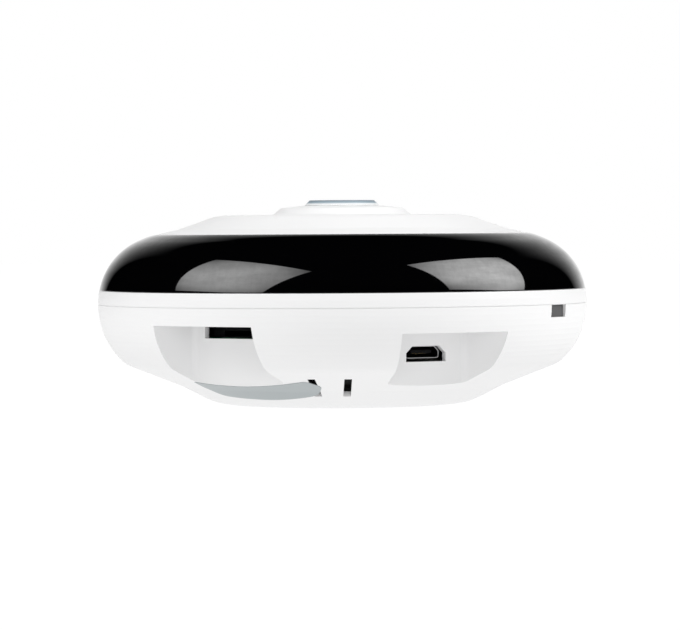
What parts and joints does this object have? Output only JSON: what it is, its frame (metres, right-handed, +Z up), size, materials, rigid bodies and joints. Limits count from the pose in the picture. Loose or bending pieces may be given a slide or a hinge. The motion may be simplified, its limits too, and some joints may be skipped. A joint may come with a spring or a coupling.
{
  "type": "wireless dome camera",
  "caption": "Flat round ceiling camera with a fisheye lens, a black infrared window ring, a card slot bay and a supply socket bay.",
  "frame": {"origin": "middle of the flat bottom", "axes": "+Z up through the lens, -Y towards the front between the two bays, +X to the right with the supply bay"},
  "size_m": [0.1, 0.1, 0.0415],
  "materials": {
    "white_shell": "fine satin white moulding",
    "black_window": "polished black",
    "lens_window_glass": "dark polished window",
    "lens_glass": "coated glass",
    "filter_glass": "coated glass",
    "black_metal": "black anodised",
    "black_plastic": "moulded",
    "grey_plastic": "moulded",
    "ivory_plastic": "moulded",
    "black_rubber": "soft",
    "chip_black": "epoxy package",
    "board_green": "solder mask",
    "sink_aluminium": "extruded",
    "shield_steel": "plated",
    "screw_steel": "plated",
    "copper_wire": "enamelled winding",
    "antenna_copper": "flexible circuit",
    "ir_lamp_resin": "tinted resin",
    "white_lamp_resin": "clear resin"
  },
  "bodies": {
    "housing": {"base_shell": "white_shell", "middle_band": "white_shell", "ir_window_ring": "black_window", "front_cover": "white_shell", "lens_window": "lens_window_glass", "front_element": "lens_glass", "lens_barrel": "black_metal", "lens_gasket": "black_rubber", "lens_holder": "black_plastic", "holder_screws": "screw_steel", "ir_cut_housing": "black_plastic", "ir_cut_coil": "copper_wire", "image_sensor": "chip_black", "main_board": "board_green", "processor": "chip_black", "heat_sink": "sink_aluminium", "wifi_module": "shield_steel", "antenna": "antenna_copper", "usb_socket": "shield_steel", "usb_tongue": "black_plastic", "card_socket": "shield_steel", "board_connectors": "ivory_plastic", "ribbon_cable": "ivory_plastic", "reset_switch": "grey_plastic", "speaker": "black_plastic", "speaker_gasket": "black_rubber", "microphone": "shield_steel", "lamp_board": "board_green", "ir_lamps": "ir_lamp_resin", "white_lamps": "white_lamp_resin", "light_sensor": "white_lamp_resin", "lamp_board_screws": "screw_steel", "case_screws": "screw_steel"},
    "filter_carrier": {"ir_cut_carrier": "grey_plastic", "ir_cut_filters": "filter_glass"},
    "reset_button": {"reset_plunger": "grey_plastic"}
  },
  "joints": [
    {"name": "filter_slide", "type": "slide", "parent": "housing", "child": "filter_carrier", "axis": [1, 0, 0], "range_m": [0, 0.0062]},
    {"name": "reset_push", "type": "slide", "parent": "housing", "child": "reset_button", "axis": [0, 0, 1], "range_m": [0, 0.0003], "stiffness_N_per_m": 400}
  ]
}
